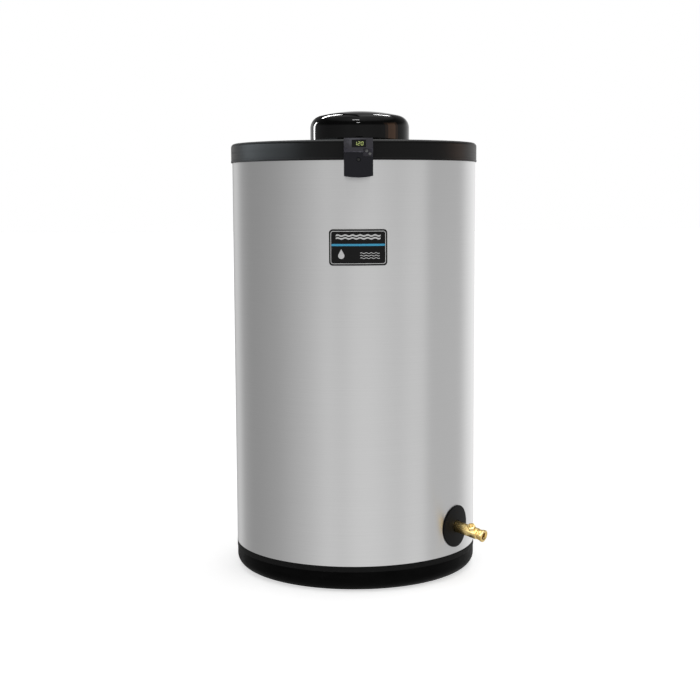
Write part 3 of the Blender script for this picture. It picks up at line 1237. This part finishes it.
# %% Lit digits
BARS = {"top": (0, 1, 0), "high_left": (-1, 0.5, 1), "high_right": (1, 0.5, 1), "middle": (0, 0, 0),
        "low_left": (-1, -0.5, 1), "low_right": (1, -0.5, 1), "base": (0, -1, 0)}
LIT = {"1": ("high_right", "low_right"), "2": ("top", "high_right", "middle", "low_left", "base"),
       "0": ("top", "high_left", "high_right", "low_left", "low_right", "base")}
DIGIT_W, DIGIT_H, DIGIT_PITCH = 0.0044, 0.0094, 0.0072
BAR, BAR_GAP, LEAN = 0.0010, 0.00035, 0.10
BAR_LOW, BAR_HIGH = 0.00005, 0.00022  # heights over the window


def bar_corners(across_x, along_y, upright):
    """The six corners of one pointed bar, leaning a little to the right."""
    long = (DIGIT_H / 2 if upright else DIGIT_W) / 2 - BAR_GAP
    half = BAR / 2
    shape = [(-long, 0), (-long + half, half), (long - half, half), (long, 0), (long - half, -half),
             (-long + half, -half)]
    turned_shape = [(-v, u) for u, v in shape] if upright else shape
    mid_x, mid_y = across_x * DIGIT_W / 2, along_y * DIGIT_H / 2
    return [(mid_x + u + LEAN * (mid_y + v), mid_y + v) for u, v in turned_shape]


def prism_between(bm, place, corners, low, high):
    """Adds a prism with these corners, between two heights over the place."""
    lower = [bm.verts.new(place @ Vector((u, v, low))) for u, v in corners]
    upper = [bm.verts.new(place @ Vector((u, v, high))) for u, v in corners]
    bm.faces.new(lower[::-1])
    bm.faces.new(upper)
    for i in range(len(corners)):
        after = (i + 1) % len(corners)
        bm.faces.new((lower[i], lower[after], upper[after], upper[i]))


bm = bmesh.new()
for k, digit in enumerate("120"):
    for bar in LIT[digit]:
        corners = [(u + (k - 1) * DIGIT_PITCH, v) for u, v in bar_corners(*BARS[bar])]
        prism_between(bm, on_window, corners, BAR_LOW, BAR_HIGH)
show(piece_from("display_digits", bm, segment), "heater", "display_glass")

# %% [markdown]
# A button is a rubber cap with a thin stem behind it and a flange that keeps it from falling out. It is
# spun as one outline, and a small raised arrow is joined to its face. Each rides on a body of its own.

# %% The two buttons, with an arrow on each
CAP_R, PUSHER_R, FLANGE_R = 0.0033, 0.0012, 0.0043
FLANGE_BACK, FLANGE_FRONT = 0.0046, 0.0034  # behind the cap's face
ARROW_TIP, ARROW_FOOT, ARROW_HALF = 0.0016, 0.0008, 0.0015
ARROW_DEEP, ARROW_PROUD = 0.0006, 0.00015
facing_out = Matrix.Rotation(math.radians(90), 4, "X")
for name, body, sign in (("button_up", "up_button", 1), ("button_down", "down_button", -1)):
    low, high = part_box(name)
    middle = (low + high) / 2
    place = Matrix.Translation((middle.x, 0, middle.z)) @ facing_out
    face = -low.y
    outline = rounded([
        (0, -high.y), (PUSHER_R, -high.y), (PUSHER_R, face - FLANGE_BACK), (FLANGE_R, face - FLANGE_BACK),
        (FLANGE_R, face - FLANGE_FRONT), (CAP_R, face - FLANGE_FRONT), (CAP_R, face - 0.0001, 0.0007),
        (0, face),
    ], 5)
    button = turned(name + "_cap", cap_rubber, outline, steps=48, place=place)
    arrow = bmesh.new()
    tip = [(0, ARROW_TIP * sign), (-ARROW_HALF * sign, -ARROW_FOOT * sign),
           (ARROW_HALF * sign, -ARROW_FOOT * sign)]
    prism_between(arrow, place, tip, face - ARROW_DEEP, face + ARROW_PROUD)
    cut(button, piece_from("arrow", arrow, cap_rubber), operation="UNION")
    show(button, body, "black_rubber", name)

# %% [markdown]
# The cover's screw sits deep in its pocket. Its domed head is spun, and two thin blocks at a right angle
# cut the cross in it, turned a little, since a screw never ends up square.

# %% The sunken screw of the control's cover
THREAD_R, HEAD_SIDE_R, HEAD_T, HEAD_SOFT = 0.0016, 0.0038, 0.0030, 0.0012
CROSS = (0.0009, 0.0042, 0.0030)  # width, length and height of the blade that cuts the cross
CROSS_TURN = 20
screw_low, screw_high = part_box("control_cover_screw")
screw_z = (screw_low.z + screw_high.z) / 2
screw_place = Matrix.Translation((0, 0, screw_z)) @ facing_out
face = -screw_low.y
outline = rounded([(0, -screw_high.y), (THREAD_R, -screw_high.y), (THREAD_R, face - HEAD_T),
                   (HEAD_SIDE_R, face - HEAD_T), (HEAD_SIDE_R, face - HEAD_SOFT, HEAD_SOFT), (0, face)], 6)
screw = turned("cover_screw", black_screw, outline, steps=48, place=screw_place)
head_place = screw_place @ Matrix.Translation((0, 0, face))
for angle in (0, 90):
    turn = Matrix.Rotation(math.radians(angle + CROSS_TURN), 4, "Z")
    cross_bm = bmesh.new()
    bmesh.ops.create_cube(cross_bm, size=1.0, matrix=head_place @ turn @ Matrix.Diagonal((*CROSS, 1.0)))
    cut(screw, piece_from("blade", cross_bm, black_screw))
show(screw, "heater", "zinc_plated_steel", "control_cover_screw")

# %% [markdown]
# ## Badge
#
# The badge is a thin panel bent to the jacket: a black field, a silver line round it and a blue stripe
# across it. It carries plain marks: two wavy ribbons over the stripe, a drop and three ripples under it.
# Each layer starts as a flat filled curve, which takes any outline and its holes. The curve is turned
# into a mesh, cut into narrow strips so that it can bend, and wrapped round the jacket.

# %% Flat layers that are bent to the jacket
STRIP = 0.002
plate_low, plate_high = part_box("badge_plate")
BADGE_X = (plate_high.x - plate_low.x) / 2
BADGE_Y = (plate_high.z - plate_low.z) / 2
BADGE_Z = (plate_high.z + plate_low.z) / 2


def bent_layer(name, outlines, low, high, finish):
    """A layer from these closed outlines, where one inside another is a hole, between two heights."""
    flat_curve = bpy.data.curves.new(name, "CURVE")
    flat_curve.dimensions = "2D"
    flat_curve.fill_mode = "BOTH"
    flat_curve.extrude = (high - low) / 2
    for outline in outlines:
        spline = flat_curve.splines.new("POLY")
        spline.points.add(len(outline) - 1)
        for point, (u, v) in zip(spline.points, outline):
            point.co = (u, v, 0, 1)
        spline.use_cyclic_u = True
    maker = bpy.data.objects.new(name, flat_curve)
    scene.collection.objects.link(maker)
    mesh = bpy.data.meshes.new_from_object(maker.evaluated_get(bpy.context.evaluated_depsgraph_get()))
    bpy.data.objects.remove(maker)
    bm = bmesh.new()
    bm.from_mesh(mesh)
    bmesh.ops.remove_doubles(bm, verts=bm.verts, dist=WELD)
    bmesh.ops.dissolve_limit(bm, angle_limit=0.01, verts=bm.verts, edges=bm.edges)
    reach_x = max(abs(v.co.x) for v in bm.verts)
    strips = int(reach_x / STRIP)
    for k in range(-strips, strips + 1):
        geometry = bm.verts[:] + bm.edges[:] + bm.faces[:]
        bmesh.ops.bisect_plane(bm, geom=geometry, plane_co=(k * STRIP, 0, 0), plane_no=(1, 0, 0))
    for v in bm.verts:
        v.co = wrapped(v.co.x, BADGE_Z + v.co.y, (low + high) / 2 + v.co.z)
    return piece_from(name, bm, finish, 30)


def panel(half_x, half_y, corner, mid_y=0.0):
    """A rectangle with rounded corners, from its half sizes."""
    return rounded([(-half_x, mid_y - half_y, corner), (half_x, mid_y - half_y, corner),
                    (half_x, mid_y + half_y, corner), (-half_x, mid_y + half_y, corner)], 10)


EDGE, LINE = 0.0036, 0.0013
CORNER, LINE_OUTER, LINE_INNER = 0.008, 0.006, 0.0049  # corner radii
LIFT, LINE_RISE = 0.0001, 0.0009
plate_face = -plate_low.y - JACKET_R
framed = bent_layer("badge_frame", [panel(BADGE_X, BADGE_Y, CORNER)], GAP, plate_face, enamel)
show(framed, "heater", "black_plastic", "badge_plate")
line = bent_layer("badge_line", [panel(BADGE_X - EDGE, BADGE_Y - EDGE, LINE_OUTER),
                                 panel(BADGE_X - EDGE - LINE, BADGE_Y - EDGE - LINE, LINE_INNER)],
                  plate_face + LIFT, plate_face + LINE_RISE, silver_line)
show(line, "heater", "badge_foil", "badge_face")

# %% [markdown]
# The stripe and the marks are printed foil, so they lie a tenth of a millimetre over the field. A wave is
# a sine drawn twice, the second time backwards and lower, which closes it into a ribbon.

# %% Stripe and plain marks
MARK_RISE = 0.0005
STRIPE_HALF, STRIPE_CORNER, STRIPE_GAP = 0.0024, 0.0004, 0.0006
STRIPE_DOWN = 0.43  # how far down the badge the stripe lies, as a share
WAVE_STEPS = 72
mark_low, mark_high = plate_face + LIFT, plate_face + MARK_RISE
inner_x = BADGE_X - EDGE - LINE - STRIPE_GAP
stripe_z = BADGE_Y * (1 - 2 * STRIPE_DOWN)
stripe_outline = panel(inner_x, STRIPE_HALF, STRIPE_CORNER, stripe_z)
stripe = bent_layer("badge_stripe", [stripe_outline], mark_low, mark_high, blue_line)
show(stripe, "heater", "badge_foil")


def wave(left, right, middle, swing, thick, bends):
    """A ribbon that waves up and down between two ends."""
    shares = [k / WAVE_STEPS for k in range(WAVE_STEPS + 1)]
    crest = [(left + (right - left) * s, middle + swing * math.sin(s * bends * math.pi)) for s in shares]
    return crest + [(x, y - thick) for x, y in reversed(crest)]


DROP_X, DROP_Y, DROP_R, DROP_TIP = -0.038, -0.0185, 0.0070, 0.0150
drop = [(DROP_X, DROP_Y + DROP_TIP)] + [tuple(p) for p in arc((DROP_X, DROP_Y), DROP_R, 30, -210, 28)]
ribbons = [wave(-0.050, 0.050, 0.0285 - 0.0062 * row, 0.0012, 0.0036, 12) for row in range(2)]
ripples = [wave(0.004, 0.048, -0.0120 - 0.0056 * row, 0.0010, 0.0014, 8) for row in range(3)]
marks = bent_layer("badge_marks", [drop, *ribbons, *ripples], mark_low, mark_high, silver_line)
show(marks, "heater", "badge_foil")

# %% [markdown]
# ## What stays as it was
#
# The parts inside the heater are already the right shape and are almost never seen, so their solids stay.
# Each one gets the finish of its material. Nothing keeps a plain colour.

# %% Finishes for the solids that stay
INSIDE = {
    foam: ("foam_insulation", "bottom_insulation_pad"),
    seat: ("drain_seat_inner", "drain_seat_outer", "terminal_block"),
    board: ("circuit_board", "display_module"),
    stainless: ("tank_shell", "heating_coil", "support_ring", "drain_coupling", "sensor_probe",
                "hot_outlet_tube",
                "cold_inlet_tube", "coil_support_1", "coil_support_2", "coil_support_3"),
}
for finish, names in INSIDE.items():
    for name in names:
        solid = frame["nodes"][name]
        for slot in solid.material_slots:
            slot.material = finish.material
        if not solid.material_slots:
            solid.data.materials.append(finish.material)
print("solids that stay:", sum(len(names) for names in INSIDE.values()))
